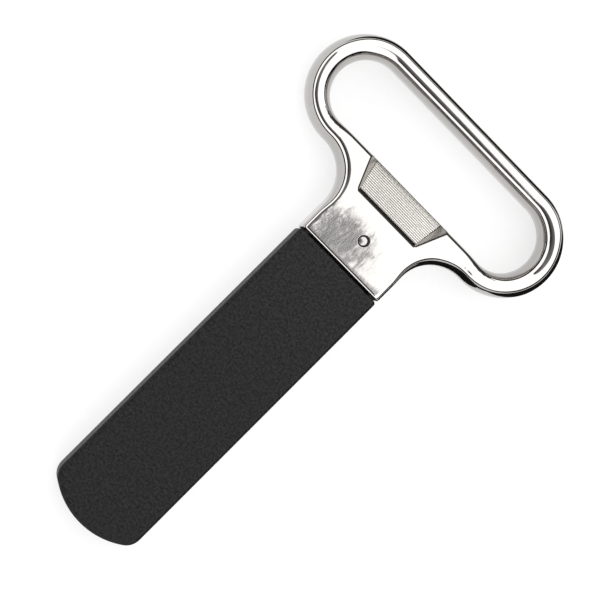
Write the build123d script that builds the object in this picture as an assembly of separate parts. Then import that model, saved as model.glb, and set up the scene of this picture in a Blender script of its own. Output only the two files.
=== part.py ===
from build123d import *
import os
from math import cos, radians, sin, sqrt, tan

# Two-prong cork puller with a cap lifter in its handle, closed in its plastic sheath.
# It lies on its back: X runs across the finger loop, Y along the tool towards the loop,
# and Z is the thickness. Lengths are in millimetres. The shapes are drawn about a working
# origin, the centre of the neck's bottom face at mid thickness. The finished pieces then
# move so that the origin is the bottom centre of the whole tool's bounding box.

# Overall sizes
THICKNESS = 10.0
NECK_WIDTH = 23.2
LOOP_WIDTH = 70.0
LOOP_BOTTOM = 16.75
LOOP_TOP = 43.1
CASTING_ROUND = 2.0

# Finger opening in the loop
OPENING_WIDTH = 58.4
OPENING_BOTTOM = 21.7
OPENING_TOP = 37.9
SHOULDER_RADIUS = 9.5

# Cap lifter: one sloped pocket in each face, which leaves a thin lip above the opening
LIFTER_BOTTOM = 13.9
LIFTER_STEP = 0.7
LIFTER_DEPTH = 3.1
LIFTER_FACE_WIDTHS = (17.4, 23.4)
LIFTER_FLOOR_WIDTHS = (17.0, 19.1)

# Spring-steel prongs
STRIP = 0.8
PRONG_WIDTH = 7.4
PRONG_TIP_WIDTH = 6.4
PRONG_INNER = 9.4
LONG_PRONG = 72.0
SHORT_PRONG = 65.0
TAPER_LENGTH = 24.0
FLAT_LENGTH = 3.0
BOW_LENGTH = 12.0
TIP_CORNER = 2.6
TIP_BEVEL_LENGTH = 3.0
TIP_BEVEL_DEPTH = 0.45
FOOT_GAP = 0.2

# Pin that keeps the feet of both prongs in the neck
PIN_Y = 7.0
PIN_RADIUS = 1.1
PIN_RECESS_RADIUS = 1.45
PIN_RECESS_DEPTH = 0.5
PIN_DOME = 0.35
PIN_TO_FOOT = 0.12

# Cavity in the neck for the prongs' tangs
SIDE_CLEARANCE = 0.05
FACE_CLEARANCE = 0.2
ROOF_SLOPE = 3.2

# Sheath
SHEATH_GAP = 0.4
SHEATH_LENGTH = 78.2
SHEATH_WALL = 1.1
SHEATH_TIP_RADIUS = 17.4
SHEATH_TIP_CORNER = 4.0
SHEATH_ROUND = 1.05
MOUTH_ROUND = 0.7

# Values that follow from the sizes above
HALF = THICKNESS / 2
FOOT_BOTTOM = PIN_Y + PIN_RADIUS + PIN_TO_FOOT
FOOT_TOP = FOOT_BOTTOM + STRIP
PRONG_OUTER = PRONG_INNER + STRIP
SHEATH_MOUTH = -SHEATH_GAP
SHEATH_END = SHEATH_MOUTH - SHEATH_LENGTH
MID_Y = (LOOP_TOP + SHEATH_END) / 2


def slab(face, thickness):
    """Extrude a plan face to a slab centred on mid thickness."""
    return extrude(face, amount=thickness / 2, both=True)


def outline_edges(solid, *levels):
    """The edges of a slab that lie in the planes z = levels."""
    return [
        edge
        for edge in solid.edges()
        if any(abs(edge.center().Z - z) < 1e-4 and edge.bounding_box().size.Z < 1e-4 for z in levels)
    ]


def handle_plan():
    """Outline of the handle: the neck, the concave shoulders and the stadium-shaped loop."""
    half_neck = NECK_WIDTH / 2
    end_radius = (LOOP_TOP - LOOP_BOTTOM) / 2
    end_x = LOOP_WIDTH / 2 - end_radius
    end_y = LOOP_BOTTOM + end_radius
    arc_x = half_neck + SHOULDER_RADIUS
    arc_y = LOOP_BOTTOM - SHOULDER_RADIUS
    middle = SHOULDER_RADIUS * cos(radians(45))
    right = Curve() + [
        Line((0, 0), (half_neck, 0)),
        Line((half_neck, 0), (half_neck, arc_y)),
        ThreePointArc((half_neck, arc_y), (arc_x - middle, arc_y + middle), (arc_x, LOOP_BOTTOM)),
        Line((arc_x, LOOP_BOTTOM), (end_x, LOOP_BOTTOM)),
        ThreePointArc((end_x, LOOP_BOTTOM), (end_x + end_radius, end_y), (end_x, LOOP_TOP)),
        Line((end_x, LOOP_TOP), (0, LOOP_TOP)),
    ]
    return make_face(right + mirror(right, Plane.YZ))


def opening_plan():
    """Stadium-shaped finger opening."""
    height = OPENING_TOP - OPENING_BOTTOM
    centre = (OPENING_TOP + OPENING_BOTTOM) / 2
    return Pos(0, centre) * SlotOverall(OPENING_WIDTH, height)


def pocket_section(y, face_width, floor_width, depth):
    """Cross-section of a lifter pocket at height y along the tool, open above the front face."""
    above = 1.0
    lean = (face_width - floor_width) / 2 / depth * above
    return make_face(
        Polyline(
            (floor_width / 2, y, HALF - depth),
            (face_width / 2 + lean, y, HALF + above),
            (-face_width / 2 - lean, y, HALF + above),
            (-floor_width / 2, y, HALF - depth),
            close=True,
        )
    )


def lifter_pocket():
    """Sloped pocket in the front face, from a low step up to the opening's edge."""
    low_face, high_face = LIFTER_FACE_WIDTHS
    low_floor, high_floor = LIFTER_FLOOR_WIDTHS
    start = pocket_section(LIFTER_BOTTOM, low_face, low_floor, LIFTER_STEP)
    lip = pocket_section(OPENING_BOTTOM, high_face, high_floor, LIFTER_DEPTH)
    past_lip = extrude(lip, amount=2.0, dir=(0, 1, 0))
    return loft([start, lip], ruled=True) + past_lip


def neck_cavity():
    """Hollow of the neck, open at the bottom, with a shallow gable roof that lets the prongs flex."""
    half = PRONG_OUTER + SIDE_CLEARANCE
    eaves = FOOT_TOP + SIDE_CLEARANCE
    ridge = eaves + half * tan(radians(ROOF_SLOPE))
    below = -1.0
    plan = make_face(
        Polyline((-half, below), (half, below), (half, eaves), (0, ridge), (-half, eaves), close=True)
    )
    return slab(plan, PRONG_WIDTH + 2 * FACE_CLEARANCE)


def make_handle():
    """One casting: the finger loop, the shoulders, the hollow neck and the cap lifter's lip."""
    body = slab(handle_plan() - opening_plan(), THICKNESS)
    rim = [edge for edge in outline_edges(body, HALF, -HALF) if edge.center().Y > 0.1]
    body = fillet(rim, CASTING_ROUND)
    pocket = lifter_pocket()
    body = body - pocket - mirror(pocket, Plane.XY) - neck_cavity()
    bore = Cylinder(PIN_RADIUS, THICKNESS)
    recess = Cylinder(PIN_RECESS_RADIUS, PIN_RECESS_DEPTH)
    body -= Pos(0, PIN_Y, 0) * bore
    for side in (1, -1):
        body -= Pos(0, PIN_Y, side * (HALF - PIN_RECESS_DEPTH / 2)) * recess
    return body


def make_pin():
    """Cross pin with a low dome at each end, just below the casting's faces."""
    dome_start = HALF - PIN_RECESS_DEPTH
    sphere_radius = (PIN_RADIUS**2 + PIN_DOME**2) / (2 * PIN_DOME)
    profile = make_face(
        Curve()
        + [
            Line((0, 0), (PIN_RADIUS, 0)),
            Line((PIN_RADIUS, 0), (PIN_RADIUS, dome_start)),
            RadiusArc((PIN_RADIUS, dome_start), (0, dome_start + PIN_DOME), -sphere_radius),
            Line((0, dome_start + PIN_DOME), (0, 0)),
        ]
    )
    half_pin = revolve(Plane.XZ * profile, Axis.Z)
    return Pos(0, PIN_Y, 0) * (half_pin + mirror(half_pin, Plane.XY))


def strip_section(y, bow):
    """Cross-section of the right prong at height y: a strip whose edges bend inwards by bow."""
    half = PRONG_WIDTH / 2
    inner_edge = (PRONG_INNER - bow, y, half)
    outer_edge = (PRONG_OUTER - bow, y, half)
    corners = [inner_edge, outer_edge]
    far = [(x, y, -z) for x, y, z in corners]
    if bow:
        outer = ThreePointArc(outer_edge, (PRONG_OUTER, y, 0), far[1])
        inner = ThreePointArc(far[0], (PRONG_INNER, y, 0), inner_edge)
    else:
        outer = Line(outer_edge, far[1])
        inner = Line(far[0], inner_edge)
    return make_face(Curve() + [Line(*corners), outer, Line(far[1], far[0]), inner])


def blade_plan(tip):
    """Side outline of a prong in the YZ plane, tapered and rounded towards its tip."""
    half = PRONG_WIDTH / 2
    half_tip = PRONG_TIP_WIDTH / 2
    upper = [(half, 1.0), (half, tip + TAPER_LENGTH), (half_tip, tip)]
    lower = [(-z, y) for z, y in reversed(upper)]
    plan = make_face(Polyline(*upper, *lower, close=True))
    tips = [corner for corner in plan.vertices() if abs(corner.Y - tip) < 1e-4]
    return fillet(tips, TIP_CORNER)


def make_prong(length):
    """Right-hand prong: a foot over the pin, a flat tang in the neck and a bowed blade below it."""
    tip = -length
    bow = PRONG_INNER - sqrt(PRONG_INNER**2 - (PRONG_WIDTH / 2) ** 2)
    flat = extrude(strip_section(FOOT_TOP, 0), amount=FOOT_TOP + FLAT_LENGTH, dir=(0, -1, 0))
    bowed = strip_section(-BOW_LENGTH, bow)
    blend = loft([strip_section(-FLAT_LENGTH, 0), bowed])
    blade = extrude(bowed, amount=length - BOW_LENGTH, dir=(0, -1, 0))
    foot_span = PRONG_INNER - FOOT_GAP / 2
    foot = Pos(FOOT_GAP / 2 + foot_span / 2, FOOT_TOP - STRIP / 2, 0) * Box(foot_span, STRIP, PRONG_WIDTH)

    # the plan is drawn with Z across and Y along, then stands in the YZ plane
    upright = Plane(origin=(0, 0, 0), x_dir=(0, 0, -1), z_dir=(1, 0, 0))
    trim = extrude(upright * blade_plan(tip), amount=PRONG_OUTER + 1)
    bevel = make_face(
        Polyline(
            (PRONG_OUTER + 1, tip + TIP_BEVEL_LENGTH),
            (PRONG_OUTER, tip + TIP_BEVEL_LENGTH),
            (PRONG_OUTER - TIP_BEVEL_DEPTH, tip - 1),
            (PRONG_OUTER + 1, tip - 1),
            close=True,
        )
    )
    return foot + flat + ((blend + blade) & trim) - slab(bevel, THICKNESS)


def sheath_plan(inset, mouth):
    """Outline of the sheath, inset by a wall: straight sides and a gently curved tip."""
    half = NECK_WIDTH / 2 - inset
    radius = SHEATH_TIP_RADIUS - inset
    centre_y = SHEATH_END + SHEATH_TIP_RADIUS
    side_y = centre_y - sqrt(radius**2 - half**2)
    outline = Curve() + [
        Line((-half, mouth), (half, mouth)),
        Line((half, mouth), (half, side_y)),
        ThreePointArc((half, side_y), (0, centre_y - radius), (-half, side_y)),
        Line((-half, side_y), (-half, mouth)),
    ]
    plan = make_face(outline)
    tips = [corner for corner in plan.vertices() if abs(corner.Y - side_y) < 1e-4]
    return fillet(tips, SHEATH_TIP_CORNER - inset)


def make_sheath():
    """Hollow moulding that covers both prongs, open towards the neck."""
    body = slab(sheath_plan(0, SHEATH_MOUTH), THICKNESS)
    rim = [edge for edge in outline_edges(body, HALF, -HALF) if edge.center().Y < SHEATH_MOUTH - 0.1]
    body = fillet(rim, SHEATH_ROUND)
    mouth = body.faces().sort_by(Axis.Y)[-1]
    body = fillet(mouth.edges(), MOUTH_ROUND)
    hollow = slab(sheath_plan(SHEATH_WALL, SHEATH_MOUTH + 1), THICKNESS - 2 * SHEATH_WALL)
    return body - hollow


right_prong = make_prong(LONG_PRONG)
left_prong = mirror(make_prong(SHORT_PRONG), Plane.YZ)

nodes = {
    "handle": make_handle(),
    "retaining_pin": make_pin(),
    "long_prong": right_prong,
    "short_prong": left_prong,
    "sheath": make_sheath(),
}

os.makedirs("parts", exist_ok=True)
for name, shape in nodes.items():
    export_step(Pos(0, -MID_Y, HALF) * shape, f"parts/{name}.step")
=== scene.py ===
from math import atan, cos, degrees, hypot, pi, radians, sin, sqrt, tan

import bpy
from mathutils import Matrix, Vector
from mathutils.geometry import delaunay_2d_cdt


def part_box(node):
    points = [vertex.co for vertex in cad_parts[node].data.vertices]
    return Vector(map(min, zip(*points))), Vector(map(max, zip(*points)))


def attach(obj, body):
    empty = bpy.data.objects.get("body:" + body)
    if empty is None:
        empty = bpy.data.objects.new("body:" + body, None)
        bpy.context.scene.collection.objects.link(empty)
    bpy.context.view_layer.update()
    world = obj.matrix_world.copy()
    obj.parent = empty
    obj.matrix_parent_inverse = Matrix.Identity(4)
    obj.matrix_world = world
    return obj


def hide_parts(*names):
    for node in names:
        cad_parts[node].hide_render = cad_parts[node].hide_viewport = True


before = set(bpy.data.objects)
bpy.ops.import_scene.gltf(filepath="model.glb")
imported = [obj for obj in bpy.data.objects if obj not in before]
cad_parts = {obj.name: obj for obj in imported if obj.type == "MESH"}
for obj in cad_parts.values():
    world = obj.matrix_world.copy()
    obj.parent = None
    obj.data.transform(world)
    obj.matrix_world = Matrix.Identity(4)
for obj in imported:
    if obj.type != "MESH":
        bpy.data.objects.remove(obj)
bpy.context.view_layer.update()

# A two-prong cork puller in its sheath, lying on a pale floor. The metal casting is drawn in
# millimetres about a working origin, the centre of the neck's bottom face at mid thickness,
# and its finished mesh is moved to the frame in metres.

MM = 0.001
handle_low, handle_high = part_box("handle")
sheath_low, sheath_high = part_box("sheath")
WORK_ORIGIN = Vector((0.0, handle_low.y, (handle_low.z + handle_high.z) / 2))

# Casting, in millimetres
HALF = (handle_high.z - handle_low.z) / 2 / MM
HALF_NECK = (sheath_high.x - sheath_low.x) / 2 / MM
HALF_LOOP = (handle_high.x - handle_low.x) / 2 / MM
LOOP_TOP = (handle_high.y - handle_low.y) / MM
LOOP_BOTTOM = 16.75
SHOULDER_RADIUS = 9.5
OPENING_HALF = 29.2
OPENING_BOTTOM = 21.7
OPENING_TOP = 37.9
NECK_ROUND = 1.4
NECK_END_ROUND = (0.3, 0.75, 0.65)
CROWN_STRIP = 0.12
WALL_STRIP = 0.05

# Cap lifter's pockets
POCKET_START = 13.9
POCKET_HALF_LOW = 8.7
POCKET_HALF_HIGH = 12.0
POCKET_STEP = 0.65
POCKET_STEP_LENGTH = 0.75
POCKET_LIP = 1.9
LIP_ROUND = 0.1
LIP_EDGE = (0.85, 2.1)
STEP_ROUND = 0.5
SIDE_SLOPE = 0.69
SIDE_ROUND = 0.45
RIBS = 15
RIB_DEPTH = 0.13

# Pin and neck cavity
PIN_Y = 7.0
PIN_RADIUS = 1.1
PIN_RECESS = (1.34, 0.5)
RECESS_ROUND = 0.1
RECESS_SHIFT = (0.09, 0.07)
PIN_DOME = 0.4
PIN_DOME_DEPTH = 0.15
PIN_SIDES = 48
CAVITY_HALF = (10.25, 3.9)
CAVITY_EAVES = 9.07
CAVITY_RIDGE = 9.64

# Rows of faces: across a rim, along a straight edge of the neck, round the neck's end, on the
# pocket's rounded step, on the step's slope, on the ribbed slope, across the rounded edge of
# the pocket's side, on the recess's rounded edge and on the pin's dome
ARC_STEPS = 26
EDGE_STEPS = 24
END_BEND = 16
STEP_BEND = 8
STEP_SLOPE = 6
SLOPE_STEPS = 96
SIDE_BEND = 6
RECESS_BEND = 5
DOME_STEPS = 14
# Where the rows down the flat part of a pocket's side end
SIDE_PLACES = (0.3, 0.6, 0.87, 1.0)

# The casting's finishes, in the order of its materials
POLISHED, BRUSHED, RIBBED, PAINTED_SHADE, RAW, FACET = range(6)


def smooth(a, b, t):
    """0 up to a, 1 from b, and a smooth step between."""
    s = min(1.0, max(0.0, (t - a) / (b - a)))
    return s * s * (3 - 2 * s)


def mix(a, b, s):
    return a + (b - a) * s


def behind(point):
    """Mirror image of a point or a normal across mid thickness."""
    return Vector((point.x, point.y, -point.z))


class Surface:
    """Faces whose corners carry their own normals. Points that coincide are shared."""

    def __init__(self):
        self.points = []
        self.known = {}
        self.faces = []
        self.normals = []
        self.materials = []

    def point(self, co):
        key = tuple(round(c, 4) + 0.0 for c in co)
        if key not in self.known:
            self.known[key] = len(self.points)
            self.points.append(Vector(co))
        return self.known[key]

    def face(self, corners, normals, material=0):
        """Adds a face, without corners that coincide."""
        kept = []
        for co, normal in zip(corners, normals):
            index = self.point(co)
            if index not in (k for k, _ in kept):
                kept.append((index, Vector(normal)))
        if len(kept) < 3:
            return
        self.faces.append([index for index, _ in kept])
        self.normals.extend(normal for _, normal in kept)
        self.materials.append(material)

    def grid(self, rows, closed=False, flip=False, material=0):
        """Quads over rows of points, with normals across the grid's own tangents."""
        rows = [[Vector(co) for co in row] for row in rows]
        count, width = len(rows), len(rows[0])
        normals = []
        for i in range(count):
            line = []
            for j in range(width):
                along = self._step(lambda k: rows[k][j], i, count, False)
                across = self._step(lambda k: rows[i][k], j, width, closed)
                normal = along.cross(across)
                line.append(-normal.normalized() if flip else normal.normalized())
            normals.append(line)
        for i, line in enumerate(normals):
            if line[0].length < 0.5:
                near = normals[i - 1] if i else normals[1]
                pole = sum(near, Vector((0, 0, 0))).normalized()
                normals[i] = [pole] * width
        self.quads(rows, normals, closed, flip, material)

    def quads(self, rows, normals, closed=False, flip=False, material=0):
        """One quad per cell. The material may be a function of the cell's row and column."""
        width = len(rows[0])
        for i in range(len(rows) - 1):
            for j in range(width if closed else width - 1):
                k = (j + 1) % width
                corners = [(i, j), (i + 1, j), (i + 1, k), (i, k)]
                if flip:
                    corners.reverse()
                places = [rows[a][b] for a, b in corners]
                leans = [normals[a][b] for a, b in corners]
                self.face(places, leans, material(i, j) if callable(material) else material)

    @staticmethod
    def _step(value, k, count, closed):
        """Direction of travel across position k, skipping points that coincide with it."""
        here = value(k)

        def beyond(sign, skip):
            found = []
            n = 1
            while len(found) < skip and n < count and (closed or 0 <= k + sign * n < count):
                other = value((k + sign * n) % count)
                if (other - (found[-1] if found else here)).length > 1e-5:
                    found.append(other)
                n += 1
            return found

        after, before = beyond(1, 2), beyond(-1, 2)
        if after and before:
            front, back = after[0] - here, here - before[0]
            return front * (back.length / front.length) + back * (front.length / back.length)
        if not after and not before:
            return Vector((0, 0, 0))
        side, sign = (after, 1) if after else (before, -1)
        near = (side[0] - here) * sign
        if len(side) < 2:
            return near
        far = (side[1] - side[0]) * sign
        slope, next_slope = near / near.length, far / far.length
        return slope + (slope - next_slope) * (near.length / (near.length + far.length))

    def fill(self, loops, normal, material=0):
        """Triangles inside the first loop and outside the others, all in one plane."""
        normal = Vector(normal)
        drop = 1 if abs(normal.y) > 0.5 else 2
        keep = [k for k in range(3) if k != drop]
        points, edges = [], []
        for loop in loops:
            start = len(points)
            points += [Vector(co) for co in loop]
            edges += [(start + k, start + (k + 1) % len(loop)) for k in range(len(loop))]
        flat = [Vector((p[keep[0]], p[keep[1]])) for p in points]
        level = points[0][drop]
        result = delaunay_2d_cdt(flat, edges, [], 0, 1e-6)
        for triangle in result[2]:
            plan = [result[0][k] for k in triangle]
            centre = (plan[0] + plan[1] + plan[2]) / 3
            crossings = 0
            for a, b in edges:
                p, q = flat[a], flat[b]
                if (p.y > centre.y) != (q.y > centre.y):
                    crossings += centre.x < p.x + (centre.y - p.y) * (q.x - p.x) / (q.y - p.y)
            if crossings % 2 == 0:
                continue
            corners = []
            for p in plan:
                co = [0.0, 0.0, 0.0]
                co[keep[0]], co[keep[1]], co[drop] = p.x, p.y, level
                corners.append(Vector(co))
            side = (corners[1] - corners[0]).cross(corners[2] - corners[0])
            if side.dot(normal) < 0:
                corners.reverse()
            self.face(corners, [normal] * 3, material)

    def both_sides(self):
        """Adds the mirror image across mid thickness."""
        points = list(self.points)
        start = 0
        for face, material in list(zip(self.faces, self.materials)):
            normals = self.normals[start : start + len(face)]
            start += len(face)
            corners = [behind(points[k]) for k in face]
            leans = [behind(n) for n in normals]
            self.face(corners[::-1], leans[::-1], material)

    def mark_creases(self, mesh):
        """Marks the edges whose two faces carry different normals, so that neither is averaged."""
        seen = {}
        start = 0
        creased = set()
        for face in self.faces:
            for k, a in enumerate(face):
                b = face[(k + 1) % len(face)]
                following = start + (k + 1) % len(face)
                here = {a: self.normals[start + k], b: self.normals[following]}
                key = (min(a, b), max(a, b))
                if key in seen and any(seen[key][v].dot(here[v]) < 0.9998 for v in key):
                    creased.add(key)
                seen[key] = here
            start += len(face)
        for edge in mesh.edges:
            edge.use_edge_sharp = tuple(sorted(edge.vertices)) in creased

    def build(self, name, materials):
        mesh = bpy.data.meshes.new(name)
        mesh.from_pydata([WORK_ORIGIN + p * MM for p in self.points], [], self.faces)
        for material in materials:
            mesh.materials.append(material)
        mesh.polygons.foreach_set("material_index", self.materials)
        mesh.polygons.foreach_set("use_smooth", [True] * len(self.faces))
        self.mark_creases(mesh)
        mesh.normals_split_custom_set([tuple(n) for n in self.normals])
        mesh.update()
        thing = bpy.data.objects.new(name, mesh)
        bpy.context.scene.collection.objects.link(thing)
        return thing


def arc(centre, radius, start, end, steps):
    """Points and outward directions along an arc, without its first point."""
    out = []
    for k in range(1, steps + 1):
        angle = radians(mix(start, end, k / steps))
        direction = Vector((cos(angle), sin(angle)))
        out.append((Vector(centre) + direction * radius, direction))
    return out


def line(start, end, normal, steps, first=False):
    """Points and a constant normal along a line."""
    return [
        (Vector(start).lerp(Vector(end), k / steps), Vector(normal))
        for k in range(0 if first else 1, steps + 1)
    ]


def turned(samples):
    """The same points with their directions reversed."""
    return [(point, -direction) for point, direction in samples]


LOOP_END_RADIUS = (LOOP_TOP - LOOP_BOTTOM) / 2
LOOP_END = Vector((HALF_LOOP - LOOP_END_RADIUS, LOOP_BOTTOM + LOOP_END_RADIUS))
OPENING_RADIUS = (OPENING_TOP - OPENING_BOTTOM) / 2
OPENING_END = Vector((OPENING_HALF - OPENING_RADIUS, OPENING_BOTTOM + OPENING_RADIUS))
SHOULDER = Vector((HALF_NECK + SHOULDER_RADIUS, LOOP_BOTTOM - SHOULDER_RADIUS))


def from_core(point, end):
    """Distance of a point from the straight core line of a stadium."""
    return hypot(max(0.0, abs(point.x) - end.x), point.y - end.y)


def outer_path():
    """Right half of the casting's outline, from the neck's end to the top of the loop."""
    path = line((HALF_NECK, NECK_END_ROUND[1]), (HALF_NECK, SHOULDER.y), (1, 0), 14, first=True)
    path += turned(arc(SHOULDER, SHOULDER_RADIUS, 180, 90, 40))
    path += line((SHOULDER.x, LOOP_BOTTOM), (LOOP_END.x, LOOP_BOTTOM), (0, -1), 2)
    path += arc(LOOP_END, LOOP_END_RADIUS, -90, 90, 72)
    path += line((LOOP_END.x, LOOP_TOP), (0, LOOP_TOP), (0, 1), 12)
    return path


def crown_shift(point):
    """How far the crown lies off the bar's centre line, outwards."""
    right = smooth(LOOP_END.x - 4, HALF_LOOP - 2, point.x)
    top = smooth(OPENING_TOP - 3, OPENING_TOP + 1, point.y)
    return max(0.35 * right, 0.15 * top)


def outer_edge(point):
    """Half width and depth of the outline's rounding: tight on the neck, oval on the loop."""
    s = smooth(4.5, LOOP_BOTTOM - 1.5, point.y)
    if point.y > LOOP_BOTTOM - 0.1:
        oval = (from_core(point, OPENING_END) - OPENING_RADIUS - CROWN_STRIP) / 2
    else:
        oval = (LOOP_END_RADIUS - OPENING_RADIUS) / 2
    return mix(NECK_ROUND, oval - crown_shift(point), s), mix(NECK_ROUND, HALF - WALL_STRIP, s)


def inner_edge(point):
    """Half width and depth of the opening's rounding: small along its lower edge."""
    width = LOOP_END_RADIUS - from_core(point, LOOP_END)
    oval = (width - CROWN_STRIP) / 2 + crown_shift(point)
    s = 1.0
    if point.y < OPENING_END.y:
        s = smooth(OPENING_END.x - 4, OPENING_END.x + 7.5, abs(point.x))
    return mix(LIP_EDGE[0], oval, s), mix(LIP_EDGE[1], HALF - WALL_STRIP, s)


def half_section(point, normal, edge):
    """Front half of the rim at one place, from the wall at mid thickness up to the crown."""
    half_width, depth = edge
    # fuller than an oval along the loop's top bar
    power = mix(1.0, 0.87, smooth(0.5, 0.95, abs(normal.y)) * smooth(30, 36, point.y))
    out = []
    for k in range(ARC_STEPS + 1):
        angle = pi / 2 * k / ARC_STEPS
        inward = 1 - max(0.0, cos(angle)) ** power
        plan = point - normal * half_width * inward
        out.append(Vector((plan.x, plan.y, HALF - depth + depth * sin(angle) ** power)))
    return out


def full_section(half):
    """Whole rim at one place, from the back's crown to the front's."""
    return [behind(p) for p in reversed(half)] + half


def mirrored(rows):
    """The same rows on the left side."""
    return [[Vector((-p.x, p.y, p.z)) for p in row] for row in rows]


def side_x(y, z):
    """Half width of a pocket between its sloped sides."""
    s = (y - POCKET_START) / (OPENING_BOTTOM - POCKET_START)
    return mix(POCKET_HALF_LOW, POCKET_HALF_HIGH, s) - SIDE_SLOPE * (HALF - z)


def pocket_rows():
    """The pocket's floor line as (y, floor z, top z): a rounded step, the ribbed slope, the lip."""
    edge_width, edge_depth = LIP_EDGE
    step_angle = atan(POCKET_STEP / POCKET_STEP_LENGTH)
    rows = []
    start = POCKET_START - STEP_ROUND * tan(step_angle / 2)
    for k in range(STEP_BEND + 1):
        a = step_angle * k / STEP_BEND
        rows.append((start + STEP_ROUND * sin(a), HALF - STEP_ROUND * (1 - cos(a)), HALF))
    foot = POCKET_START + POCKET_STEP_LENGTH
    bend_end = rows[-1][0]
    for k in range(1, STEP_SLOPE + 1):
        y = mix(bend_end, foot, k / STEP_SLOPE)
        rows.append((y, HALF - (y - POCKET_START) * tan(step_angle), HALF))
    lip_start = OPENING_BOTTOM - LIP_ROUND
    slope = (HALF - POCKET_STEP - POCKET_LIP) / (lip_start - foot)

    def floor(y):
        if y > lip_start:
            drop = LIP_ROUND - sqrt(max(0.0, LIP_ROUND**2 - (y - lip_start) ** 2))
            return POCKET_LIP - drop
        s = (y - foot) / (lip_start - foot)
        wave = (1 - cos(2 * pi * RIBS * s)) / 2
        return HALF - POCKET_STEP - slope * (y - foot) - RIB_DEPTH * wave

    crown_y = OPENING_BOTTOM - edge_width
    for k in range(1, SLOPE_STEPS + 1):
        y = mix(foot, crown_y, k / SLOPE_STEPS)
        rows.append((y, floor(y), HALF))
    for k in range(ARC_STEPS - 1, -1, -1):
        angle = pi / 2 * k / ARC_STEPS
        y = OPENING_BOTTOM - edge_width * (1 - cos(angle))
        rows.append((y, floor(y), HALF - edge_depth + edge_depth * sin(angle)))
    return rows


def pocket_side(y, floor, top):
    """One row of the pocket's right side, from the face above it down to the floor."""
    depth = top - floor
    slope = atan(1 / SIDE_SLOPE)
    radius = min(SIDE_ROUND, 0.6 * depth / (1 - cos(slope)))
    edge = side_x(y, top)
    out = []
    for k in range(SIDE_BEND + 1):
        a = slope * k / SIDE_BEND
        x = edge + radius * tan(slope / 2) - radius * sin(a)
        out.append(Vector((x, y, top - radius * (1 - cos(a)))))
    last = out[-1]
    foot = Vector((side_x(y, floor), y, floor))
    out += [last.lerp(foot, s) for s in SIDE_PLACES]
    return out


def circle(radius, z, count=64, shift=(0, 0)):
    """Circle about the pin's axis, or a little off it."""
    x, y = shift[0], PIN_Y + shift[1]
    turns = [2 * pi * k / count for k in range(count)]
    return [Vector((x + radius * cos(a), y + radius * sin(a), z)) for a in turns]


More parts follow.
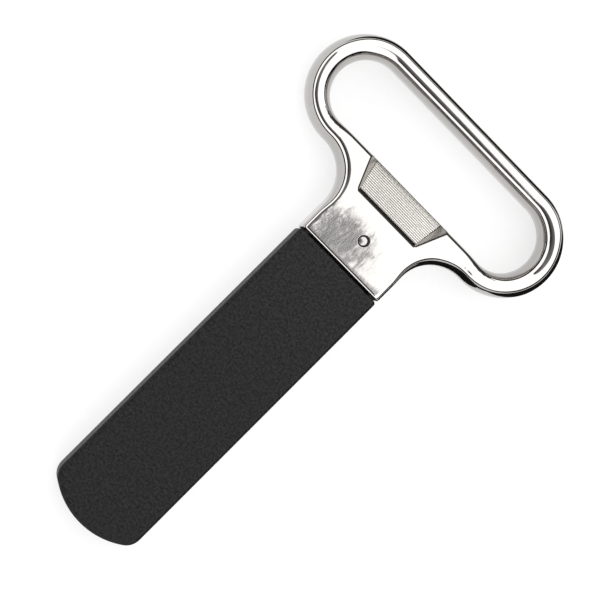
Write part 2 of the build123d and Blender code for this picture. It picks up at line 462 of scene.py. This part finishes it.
def make_casting(materials):
    """The one-piece handle: rims, faces, pockets, neck end, cavity and pin recess."""
    front = Surface()
    outer = outer_path()
    rows = [half_section(p, n, outer_edge(p)) for p, n in outer]
    left = mirrored(rows)
    whole = rows + left[-2::-1]
    front.grid(whole)

    # opening's rim, from the pocket's right side round to its left side
    lead_start = (POCKET_HALF_HIGH + 1.0, OPENING_BOTTOM)
    lead = line(lead_start, (OPENING_END.x, OPENING_BOTTOM), (0, 1), 12, first=True)
    ring = lead + turned(arc(OPENING_END, OPENING_RADIUS, -90, 90, 60))
    ring += line((OPENING_END.x, OPENING_TOP), (0, OPENING_TOP), (0, -1), 12)
    inner = [half_section(p, n, inner_edge(p)) for p, n in ring]
    pocket = pocket_rows()
    sides = [pocket_side(*row) for row in pocket]
    crown_row = len(pocket) - 1 - ARC_STEPS
    inner.insert(0, [row[0] for row in reversed(sides[crown_row:])])
    inner_whole = inner + mirrored(inner)[-2::-1]

    def rim_finish(i, j):
        """Painted shade: a dark line runs just inside the lip and thins out into the loop's ends.
        """
        end = smooth(len(lead) - 2, len(lead) + 12, min(i, len(inner_whole) - 2 - i))
        low, high = mix(0.55, 0.8, end), mix(0.97, 0.8, end)
        return PAINTED_SHADE if low * ARC_STEPS < j < high * ARC_STEPS else POLISHED

    front.grid(inner_whole, flip=True, material=rim_finish)

    # pockets: sides and ribbed floor
    def side_finish(i, j):
        """Painted shade along the rounded edge and along the foot."""
        return PAINTED_SHADE if j < SIDE_BEND or j == SIDE_BEND + len(SIDE_PLACES) - 1 else FACET

    # painted shade on the pocket's rounded step and its short slope; ribbed finish on the rest
    def floor_finish(i, j):
        return PAINTED_SHADE if i < STEP_BEND + STEP_SLOPE else RIBBED

    front.grid(sides, flip=True, material=side_finish)
    front.grid(mirrored(sides), material=side_finish)
    feet = [row[-1] for row in sides]
    floor = [[Vector((mix(p.x, -p.x, k / 4), p.y, p.z)) for k in range(5)] for p in feet]
    front.grid(floor, flip=True, material=floor_finish)

    # flat face
    crown = [row[-1] for row in whole]
    bottom = [crown[-1].lerp(crown[0], k / EDGE_STEPS) for k in range(1, EDGE_STEPS)]
    hole = [row[-1] for row in inner_whole]
    side_line = [row[0] for row in sides[:crown_row]]
    hole += [Vector((-p.x, p.y, p.z)) for p in reversed(side_line)]
    hole += [Vector((-p.x, p.y, p.z)) for p in floor[0][1:-1]]
    hole += side_line
    recess_radius, recess_depth = PIN_RECESS
    top = circle(recess_radius + RECESS_ROUND, HALF, shift=RECESS_SHIFT)
    front.fill([crown + bottom, hole, top], (0, 0, 1), BRUSHED)

    # pin recess and bore, with painted shade at the recess's foot and on the ledge round the pin
    wall = [top]
    for k in range(1, RECESS_BEND + 1):
        a = pi / 2 * k / RECESS_BEND
        radius = recess_radius + RECESS_ROUND * (1 - sin(a))
        wall.append(circle(radius, HALF - RECESS_ROUND * (1 - cos(a)), shift=RECESS_SHIFT))
    front.grid(wall, closed=True)
    foot = circle(recess_radius, HALF - recess_depth, shift=RECESS_SHIFT)
    front.grid([wall[-1], foot], closed=True, material=PAINTED_SHADE)
    bore_top = circle(PIN_RADIUS, HALF - recess_depth)
    front.fill([foot, bore_top], (0, 0, 1), PAINTED_SHADE)
    cavity_x, cavity_z = CAVITY_HALF
    bore_foot = circle(PIN_RADIUS, cavity_z)
    front.grid([bore_top, bore_foot], closed=True, material=RAW)
    ceiling = [
        Vector((cavity_x, 0, cavity_z)), Vector((cavity_x, CAVITY_EAVES, cavity_z)),
        Vector((0, CAVITY_RIDGE, cavity_z)), Vector((-cavity_x, CAVITY_EAVES, cavity_z)),
        Vector((-cavity_x, 0, cavity_z)),
    ]
    front.fill([ceiling, bore_foot], (0, 0, -1), RAW)
    front.both_sides()

    # walls at mid thickness that join the two faces
    def belt(lower_points, flip):
        front.grid([[behind(p), p] for p in lower_points], flip=flip)

    belt([row[0] for row in whole], False)
    belt([row[0] for row in inner_whole], True)
    left_lip, right_lip = inner_whole[-1][0], inner_whole[0][0]
    front.face([behind(left_lip), left_lip, right_lip, behind(right_lip)], [(0, 1, 0)] * 4)
    hollow = Vector((0, 4, 0))
    for a, b in zip(ceiling[:-1], ceiling[1:]):
        normal = Vector((b.y - a.y, a.x - b.x, 0)).normalized()
        if normal.dot(hollow - a) < 0:
            normal.negate()
        corners = [a, b, behind(b), behind(a)]
        side = (corners[1] - corners[0]).cross(corners[2] - corners[0])
        if side.dot(normal) < 0:
            corners.reverse()
        front.face(corners, [normal] * 4, RAW)

    # rounded end of the neck and its end face round the cavity
    right_loop = full_section(rows[0])
    left_loop = [Vector((-p.x, p.y, p.z)) for p in reversed(right_loop)]
    parts = [k / EDGE_STEPS for k in range(EDGE_STEPS - 1, 0, -1)]
    front_edge = [left_loop[0].lerp(right_loop[-1], s) for s in parts]
    back_edge = [right_loop[0].lerp(left_loop[-1], s) for s in parts]
    loop = right_loop + front_edge + left_loop + back_edge
    directions = []
    for p in loop:
        if abs(abs(p.z) - HALF) < 1e-6:
            directions.append(Vector((0, 0, 1 if p.z > 0 else -1)))
        else:
            centre_x = (HALF_NECK - NECK_ROUND) * (1 if p.x > 0 else -1)
            centre_z = max(-HALF + NECK_ROUND, min(HALF - NECK_ROUND, p.z))
            directions.append((p - Vector((centre_x, p.y, centre_z))).normalized())
    round_x, round_y, round_z = NECK_END_ROUND
    end_rows = []
    for k in range(END_BEND + 1):
        a = pi / 2 * k / END_BEND
        inward, y = 1 - cos(a), round_y * (1 - sin(a))
        end_rows.append([
            Vector((p.x - d.x * round_x * inward, y, p.z - d.z * round_z * inward))
            for p, d in zip(loop, directions)
        ])
    front.grid(end_rows, closed=True, flip=True)
    mouth = [Vector((cavity_x, 0, cavity_z)), Vector((-cavity_x, 0, cavity_z)),
             Vector((-cavity_x, 0, -cavity_z)), Vector((cavity_x, 0, -cavity_z))]
    front.fill([end_rows[-1], mouth], (0, -1, 0), RAW)
    return front.build("casting", materials)


def make_pin(material):
    """Domed cross pin."""
    pin = Surface()
    dome_start = HALF - PIN_DOME_DEPTH - PIN_DOME
    rows = [circle(PIN_RADIUS, 0, PIN_SIDES)]
    for k in range(DOME_STEPS + 1):
        a = pi / 2 * k / DOME_STEPS
        radius = PIN_RADIUS * cos(a) if k < DOME_STEPS else 0.0
        rows.append(circle(radius, dome_start + PIN_DOME * sin(a), PIN_SIDES))
    pin.grid(rows, closed=True, flip=True)
    pin.both_sides()
    return pin.build("pin", [material])


# Camera: above the tool, a little towards its tip and its left side
CAMERA_BACK = Vector((-0.10569, -0.06210, 0.99246))
CAMERA_UP = Vector((-0.70839, 0.70517, -0.03131))
CAMERA_DISTANCE = 0.5572
CAMERA_AIM = WORK_ORIGIN + Vector((-0.14, -11.33, 0)) * MM
CAMERA_LENS = 154.3


def make_camera():
    """Camera that looks at the aim point, turned so that the tool lies on a diagonal."""
    data = bpy.data.cameras.new("camera")
    data.lens = CAMERA_LENS
    data.sensor_width = 36.0
    data.clip_start = 0.01
    camera = bpy.data.objects.new("camera", data)
    bpy.context.scene.collection.objects.link(camera)
    back = CAMERA_BACK.normalized()
    right = CAMERA_UP.cross(back).normalized()
    up = back.cross(right)
    camera.matrix_world = Matrix.Translation(CAMERA_AIM + back * CAMERA_DISTANCE) @ Matrix(
        (right, up, back)
    ).transposed().to_4x4()
    bpy.context.scene.camera = camera


class Graph:
    """Short ways to add nodes to a material or a world."""

    def __init__(self, tree):
        self.tree = tree

    def node(self, kind, **settings):
        node = self.tree.nodes.new(kind)
        for key, value in settings.items():
            setattr(node, key, value)
        return node

    def feed(self, socket, value):
        if isinstance(value, bpy.types.NodeSocket):
            self.tree.links.new(value, socket)
        else:
            socket.default_value = value

    def math(self, operation, *values):
        node = self.node("ShaderNodeMath", operation=operation)
        for socket, value in zip(node.inputs, values):
            self.feed(socket, value)
        return node.outputs[0]

    def step(self, value, start, end, low=0.0, high=1.0):
        """Smooth step from low at start to high at end."""
        node = self.node("ShaderNodeMapRange", interpolation_type="SMOOTHSTEP")
        for socket, given in zip(node.inputs, (value, start, end, low, high)):
            self.feed(socket, given)
        return node.outputs[0]

    def split(self, vector):
        node = self.node("ShaderNodeSeparateXYZ")
        self.feed(node.inputs[0], vector)
        return node.outputs

    def place(self, scale=(1, 1, 1), location=(0, 0, 0)):
        """Object coordinates in millimetres, scaled and then moved."""
        coordinates = self.node("ShaderNodeTexCoord").outputs["Object"]
        mapping = self.node("ShaderNodeMapping")
        self.feed(mapping.inputs["Vector"], coordinates)
        mapping.inputs["Scale"].default_value = [value / MM for value in scale]
        mapping.inputs["Location"].default_value = location
        return mapping.outputs[0]

    def noise(self, vector, scale, detail=3.0, roughness=0.5, distortion=0.0):
        node = self.node("ShaderNodeTexNoise")
        self.feed(node.inputs["Vector"], vector)
        node.inputs["Scale"].default_value = scale
        node.inputs["Detail"].default_value = detail
        node.inputs["Roughness"].default_value = roughness
        node.inputs["Distortion"].default_value = distortion
        return node.outputs["Fac"]

    def bump(self, height, distance, normal=None):
        """Bump whose height of 1 stands for the given distance in millimetres."""
        node = self.node("ShaderNodeBump")
        self.feed(node.inputs["Height"], height)
        node.inputs["Distance"].default_value = distance * MM
        node.inputs["Strength"].default_value = 1.0
        if normal is not None:
            self.feed(node.inputs["Normal"], normal)
        return node.outputs[0]

    def tint(self, factor, first, second):
        node = self.node("ShaderNodeMix", data_type="RGBA")
        self.feed(node.inputs["Factor"], factor)
        node.inputs["A"].default_value = (*first, 1)
        node.inputs["B"].default_value = (*second, 1)
        return node.outputs["Result"]


def material(name, **values):
    """New material, its graph and its shader, with constants on the shader's own sockets."""
    made = bpy.data.materials.new(name)
    made.use_nodes = True
    shader = made.node_tree.nodes["Principled BSDF"]
    for key, value in values.items():
        shader.inputs[key.replace("_", " ")].default_value = value
    return made, Graph(made.node_tree), shader.inputs


# Tints of the plating
NICKEL = (0.485, 0.472, 0.458)
NICKEL_DULL = (0.435, 0.421, 0.406)


def worn_normal(graph, grain, fade):
    """Surface normal of the plating, which leans a little up or down the tool.

    It leans down in a cloudy patch at the neck's lower left, which so mirrors the dark side of
    the room. With fade, the lean dies out towards the loop. The grain adds fine bumps.
    """
    place = graph.place((1.0, 0.4, 1.0))
    clouds = graph.noise(place, 0.5, detail=7, roughness=0.72, distortion=0.4)
    x, y, _ = graph.split(graph.place(location=(0, -WORK_ORIGIN.y / MM, 0)))
    aside = graph.math("MULTIPLY", graph.math("ADD", x, 3.6), 0.115)
    above = graph.math("MULTIPLY", graph.math("SUBTRACT", y, 4.4), 0.175)
    aside_squared = graph.math("MULTIPLY", aside, aside)
    above_squared = graph.math("MULTIPLY", above, above)
    away = graph.math("ADD", aside_squared, above_squared)
    uneven = graph.math("SUBTRACT", clouds, 0.5)
    blotch = graph.step(graph.math("MULTIPLY_ADD", uneven, 4.2, away), 1.6, 0.0)
    low = graph.step(graph.math("MULTIPLY_ADD", uneven, 3.0, y), 2.3, 0.7)
    lean = graph.math("MULTIPLY_ADD", graph.math("MAXIMUM", blotch, low), -0.054, 0.024)
    if fade:
        lean = graph.math("MULTIPLY", lean, graph.step(y, 15.0, 10.0))
    tilt = graph.node("ShaderNodeCombineXYZ")
    graph.feed(tilt.inputs["X"], graph.math("MULTIPLY", lean, 0.5))
    graph.feed(tilt.inputs["Y"], lean)
    normal = graph.node("ShaderNodeVectorMath", operation="ADD")
    graph.feed(normal.inputs[0], graph.node("ShaderNodeNewGeometry").outputs["Normal"])
    graph.feed(normal.inputs[1], tilt.outputs[0])
    return graph.bump(grain, 0.002, normal.outputs[0])


def polished_nickel():
    made, graph, shader = material("polished_nickel", Metallic=1.0)
    place = graph.place()
    cloud = graph.noise(place, 0.35, detail=4)
    graph.feed(shader["Base Color"], graph.tint(cloud, NICKEL_DULL, NICKEL))
    graph.feed(shader["Roughness"], graph.step(cloud, 0.3, 0.7, 0.045, 0.08))
    graph.feed(shader["Normal"], worn_normal(graph, graph.noise(place, 0.9, detail=2), True))
    return made


def brushed_nickel():
    """Flat faces, with fine streaks along the tool."""
    made, graph, shader = material("brushed_nickel", Metallic=1.0)
    streaks = graph.noise(graph.place((6.0, 0.4, 1.0)), 1.0, detail=5, roughness=0.65)
    graph.feed(shader["Base Color"], graph.tint(streaks, NICKEL_DULL, NICKEL))
    graph.feed(shader["Roughness"], graph.step(streaks, 0.3, 0.75, 0.11, 0.19))
    graph.feed(shader["Normal"], worn_normal(graph, streaks, False))
    return made


def ribbed_nickel():
    """Cap lifter's floor, with painted shade between its ribs and painted light on the last ribs
    before the lip.
    """
    made, graph, shader = material("ribbed_nickel", Metallic=1.0)
    place = graph.place()
    grain = graph.noise(place, 6.0, detail=4, roughness=0.6)
    y = graph.split(place)["Y"]
    foot = POCKET_START + POCKET_STEP_LENGTH
    pitch = (OPENING_BOTTOM - LIP_ROUND - foot) / RIBS
    lip_y = OPENING_BOTTOM + WORK_ORIGIN.y / MM
    past_foot = graph.math("SUBTRACT", y, foot + WORK_ORIGIN.y / MM)
    turn = graph.math("MULTIPLY", past_foot, 2 * pi / pitch)
    # painted light: lightens the last ribs before the lip, against their dark reflection
    painted_lip_light = graph.step(y, lip_y - 1.3, lip_y - 0.3, 0.0, 0.7)
    base_tone = graph.math("ADD", grain, painted_lip_light)
    # painted shade in the valleys between the ribs
    crest = graph.math("MULTIPLY_ADD", graph.math("COSINE", turn), 0.38, base_tone)
    bright = graph.step(crest, 0.15, 0.7)
    tint = graph.tint(bright, (0.32, 0.306, 0.288), (0.76, 0.735, 0.70))
    graph.feed(shader["Base Color"], tint)
    graph.feed(shader["Roughness"], graph.step(grain, 0.3, 0.7, 0.07, 0.14))
    graph.feed(shader["Normal"], graph.bump(grain, 0.005))
    return made


def facet_nickel():
    """Plain sides of the pockets."""
    made, graph, shader = material("facet_nickel", Metallic=1.0)
    grain = graph.noise(graph.place(), 5.0, detail=4, roughness=0.6)
    graph.feed(shader["Base Color"], graph.tint(grain, (0.25, 0.24, 0.225), (0.42, 0.405, 0.39)))
    graph.feed(shader["Roughness"], graph.step(grain, 0.3, 0.7, 0.15, 0.28))
    graph.feed(shader["Normal"], graph.bump(grain, 0.008))
    return made


def painted_shade_nickel():
    """Near-black plating that paints shade on inner edges, pocket steps and round the pin."""
    made, graph, shader = material("painted_shade_nickel", Metallic=1.0)
    grain = graph.noise(graph.place(), 5.0, detail=4, roughness=0.65)
    tint = graph.tint(grain, (0.005, 0.0048, 0.0045), (0.05, 0.047, 0.043))
    graph.feed(shader["Base Color"], tint)
    graph.feed(shader["Roughness"], graph.step(grain, 0.3, 0.7, 0.22, 0.4))
    graph.feed(shader["Normal"], graph.bump(grain, 0.012))
    return made


def pin_steel():
    made, graph, shader = material("pin_steel", Metallic=1.0)
    place = graph.place()
    cloud = graph.noise(place, 1.6, detail=4)
    graph.feed(shader["Base Color"], graph.tint(cloud, (0.34, 0.33, 0.32), NICKEL_DULL))
    graph.feed(shader["Roughness"], graph.step(cloud, 0.3, 0.7, 0.2, 0.32))
    graph.feed(shader["Normal"], graph.bump(cloud, 0.012))
    return made


def raw_metal():
    made, graph, shader = material("raw_metal", Metallic=1.0)
    grain = graph.noise(graph.place(), 4.0, detail=5, roughness=0.7)
    graph.feed(shader["Base Color"], graph.tint(grain, (0.05, 0.047, 0.043), (0.13, 0.12, 0.11)))
    graph.feed(shader["Roughness"], graph.step(grain, 0.3, 0.7, 0.55, 0.75))
    graph.feed(shader["Normal"], graph.bump(grain, 0.04))
    return made


def spring_steel():
    """Prong strip: drawn lengthwise, with a slight blue-grey tone."""
    made, graph, shader = material("spring_steel", Metallic=1.0)
    streaks = graph.noise(graph.place((7.0, 0.12, 7.0)), 1.0, detail=5, roughness=0.6)
    blotches = graph.noise(graph.place(), 0.12, detail=3)
    base_tone = graph.tint(blotches, (0.47, 0.475, 0.48), (0.60, 0.60, 0.59))
    # painted shade on the strips where they enter the neck, at the gap under the neck's end
    y = graph.split(graph.place())["Y"]
    away = graph.math("ABSOLUTE", graph.math("SUBTRACT", y, WORK_ORIGIN.y / MM - 0.4))
    painted_gap_shade = graph.node("ShaderNodeMix", data_type="RGBA")
    graph.feed(painted_gap_shade.inputs["Factor"], graph.step(away, 0.9, 2.2))
    painted_gap_shade.inputs["A"].default_value = (0.02, 0.019, 0.018, 1)
    graph.feed(painted_gap_shade.inputs["B"], base_tone)
    graph.feed(shader["Base Color"], painted_gap_shade.outputs["Result"])
    graph.feed(shader["Roughness"], graph.step(streaks, 0.3, 0.7, 0.16, 0.32))
    graph.feed(shader["Normal"], graph.bump(streaks, 0.006))
    return made


def sheath_plastic():
    """Matt moulded plastic with a fine grain, with painted shade along its right edge, and darker
    towards its tip.
    """
    made, graph, shader = material("sheath_plastic", Specular_IOR_Level=0.15)
    place = graph.place()
    grain = graph.noise(place, 1.7, detail=5, roughness=0.75)
    cloud = graph.noise(place, 0.7, detail=3)
    speck = graph.step(graph.math("MULTIPLY_ADD", cloud, 0.12, grain), 0.42, 0.7)
    x, y, _ = graph.split(place)
    # painted shade along the right edge
    inside = graph.step(x, HALF_NECK - 0.15, HALF_NECK - 0.95)
    across = graph.math("MULTIPLY_ADD", inside, 0.8, 0.2)
    along = graph.step(y, -20.0, 17.0, 0.8, 1.0)
    tone = graph.math("MULTIPLY", across, along)
    plain = graph.tint(speck, (0.0002, 0.0002, 0.0002), (0.0175, 0.0162, 0.0167))
    shaded = graph.node("ShaderNodeMix", data_type="RGBA")
    graph.feed(shaded.inputs["Factor"], tone)
    shaded.inputs["A"].default_value = (0.0002, 0.0002, 0.0002, 1)
    graph.feed(shaded.inputs["B"], plain)
    graph.feed(shader["Base Color"], shaded.outputs["Result"])
    graph.feed(shader["Roughness"], graph.step(grain, 0.3, 0.7, 0.42, 0.62))
    graph.feed(shader["Normal"], graph.bump(grain, 0.05))
    return made


def paper():
    made, graph, shader = material(
        "pale_paper", Emission_Color=(1, 1, 1, 1), Emission_Strength=0.7, Specular_IOR_Level=0.1
    )
    fibre = graph.noise(graph.place(), 0.8, detail=4)
    graph.feed(shader["Base Color"], graph.tint(fibre, (0.24, 0.24, 0.24), (0.27, 0.27, 0.27)))
    graph.feed(shader["Roughness"], graph.step(fibre, 0.3, 0.7, 0.85, 0.95))
    return made


SKY = 2.4


def make_studio():
    """Soft white light from above, a dark horizon and a dark side behind the camera."""
    world = bpy.data.worlds.new("studio")
    bpy.context.scene.world = world
    world.use_nodes = True
    graph = Graph(world.node_tree)
    direction = graph.node("ShaderNodeTexCoord").outputs["Generated"]
    x, y, z = graph.split(direction)
    to_degrees = degrees(1.0)
    across = graph.math("MULTIPLY", graph.math("ARCTAN2", x, z), to_degrees)
    along = graph.math("MULTIPLY", graph.math("ARCTAN2", y, z), to_degrees)
    height = graph.math("MULTIPLY", graph.math("ARCSINE", z), to_degrees)
    # horizon, which stands higher on the right
    right = graph.step(x, 0.62, 0.85)
    start = graph.math("MULTIPLY_ADD", right, 7.0, 13.0)
    end = graph.math("MULTIPLY_ADD", right, 9.0, 16.0)
    sky = graph.step(height, start, end, 0.01, SKY)
    # camera side, darker away from the zenith
    leftward = graph.math("MINIMUM", graph.math("ADD", across, 5.0), 0.0)
    edge_near = graph.step(graph.math("MULTIPLY_ADD", leftward, 0.35, along), 6.3, 5.0)
    edge_far = graph.step(along, -48.0, -43.0)
    slanted = graph.math("MULTIPLY_ADD", along, 0.12, across)
    edge_right = graph.step(slanted, 7.3, 5.9)
    edge_left = graph.step(across, -53.0, -45.0)
    mask = graph.math("MULTIPLY", graph.math("MULTIPLY", edge_near, edge_far),
                      graph.math("MULTIPLY", edge_right, edge_left))
    shade = graph.step(along, 2.0, -36.0, 0.28, 0.05)
    beside = graph.math("MULTIPLY", graph.step(along, 1.0, 6.0), graph.step(across, -1.0, -7.0))
    shade = graph.math("MULTIPLY_ADD", beside, graph.step(across, -40.0, -12.0, -0.2, 0.22), shade)
    lit = graph.math("MULTIPLY", sky, graph.math("SUBTRACT", 1.0, mask))
    light = graph.math("MULTIPLY_ADD", mask, shade, lit)
    background = world.node_tree.nodes["Background"]
    graph.feed(background.inputs["Strength"], light)
    background.inputs["Color"].default_value = (1.0, 1.0, 1.0, 1)


# Left and right edges of the cards beside the neck, the line that parts the neck's card from
# the sheath's, and the cards' height above the floor, in millimetres about the working origin
FLAG_LEFT = 12.4
FLAG_RIGHT = 35.2
FLAG_PART = -1.0
FLAG_HEIGHT = 0.2


def rectangle(low, high):
    """Corners of an upright rectangle."""
    return [(low[0], low[1]), (high[0], low[1]), (high[0], high[1]), (low[0], high[1])]


def shoulder_card():
    """Outline of a card beside the neck, with a rounded corner that follows the shoulder."""
    bend = [
        (SHOULDER.x + 8.6 * cos(radians(a)), 6.5 + 7.6 * sin(radians(a))) for a in range(12, 181, 7)
    ]
    foot = [(FLAG_LEFT, FLAG_PART), (FLAG_RIGHT, FLAG_PART), (FLAG_RIGHT, 8.0)]
    return foot + bend + [(FLAG_LEFT, 6.5)]


def lay_flag(name, corners):
    """Black card beside the tool, just above the floor, seen only in reflections: painted shade
    that stands in for the shaded floor and darkens the tool's edges.
    """
    mesh = bpy.data.meshes.new(name)
    points = [WORK_ORIGIN + Vector((x, y, FLAG_HEIGHT - HALF)) * MM for x, y in corners]
    mesh.from_pydata(points, [], [tuple(range(len(points)))])
    mesh.materials.append(black_card())
    flag = bpy.data.objects.new(name, mesh)
    bpy.context.scene.collection.objects.link(flag)
    flag.visible_camera = False
    flag.visible_diffuse = False
    flag.visible_shadow = False
    flag.visible_transmission = False


def black_card():
    made, graph, shader = material("black_card", Roughness=1.0, Specular_IOR_Level=0.0)
    fibre = graph.noise(graph.place(), 0.5, detail=3)
    graph.feed(shader["Base Color"], graph.tint(fibre, (0.004, 0.004, 0.004), (0.01, 0.01, 0.01)))
    return made


def make_floor():
    reach = 3.0
    mesh = bpy.data.meshes.new("floor")
    corners = [(-reach, -reach, 0), (reach, -reach, 0), (reach, reach, 0), (-reach, reach, 0)]
    mesh.from_pydata(corners, [], [(0, 1, 2, 3)])
    mesh.materials.append(paper())
    floor = bpy.data.objects.new("floor", mesh)
    bpy.context.scene.collection.objects.link(floor)


make_camera()
make_studio()
make_floor()
lay_flag("neck_flag", shoulder_card())
lay_flag("sheath_flag", rectangle((FLAG_LEFT, -82.0), (FLAG_RIGHT, FLAG_PART)))
lay_flag("right_flag", rectangle((FLAG_RIGHT, -5.0), (95.0, 60.0)))
lay_flag("top_flag", rectangle((-60.0, 48.3), (FLAG_RIGHT, 100.0)))

steel = spring_steel()
plastic = sheath_plastic()
for node, look in (("long_prong", steel), ("short_prong", steel), ("sheath", plastic)):
    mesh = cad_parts[node].data
    mesh.materials.clear()
    mesh.materials.append(look)

finishes = [
    polished_nickel(), brushed_nickel(), ribbed_nickel(),
    painted_shade_nickel(), raw_metal(), facet_nickel(),
]
casting = make_casting(finishes)
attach(casting, "body")
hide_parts("handle")
pin = make_pin(pin_steel())
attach(pin, "body")
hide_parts("retaining_pin")

bpy.context.scene.view_settings.view_transform = "Standard"
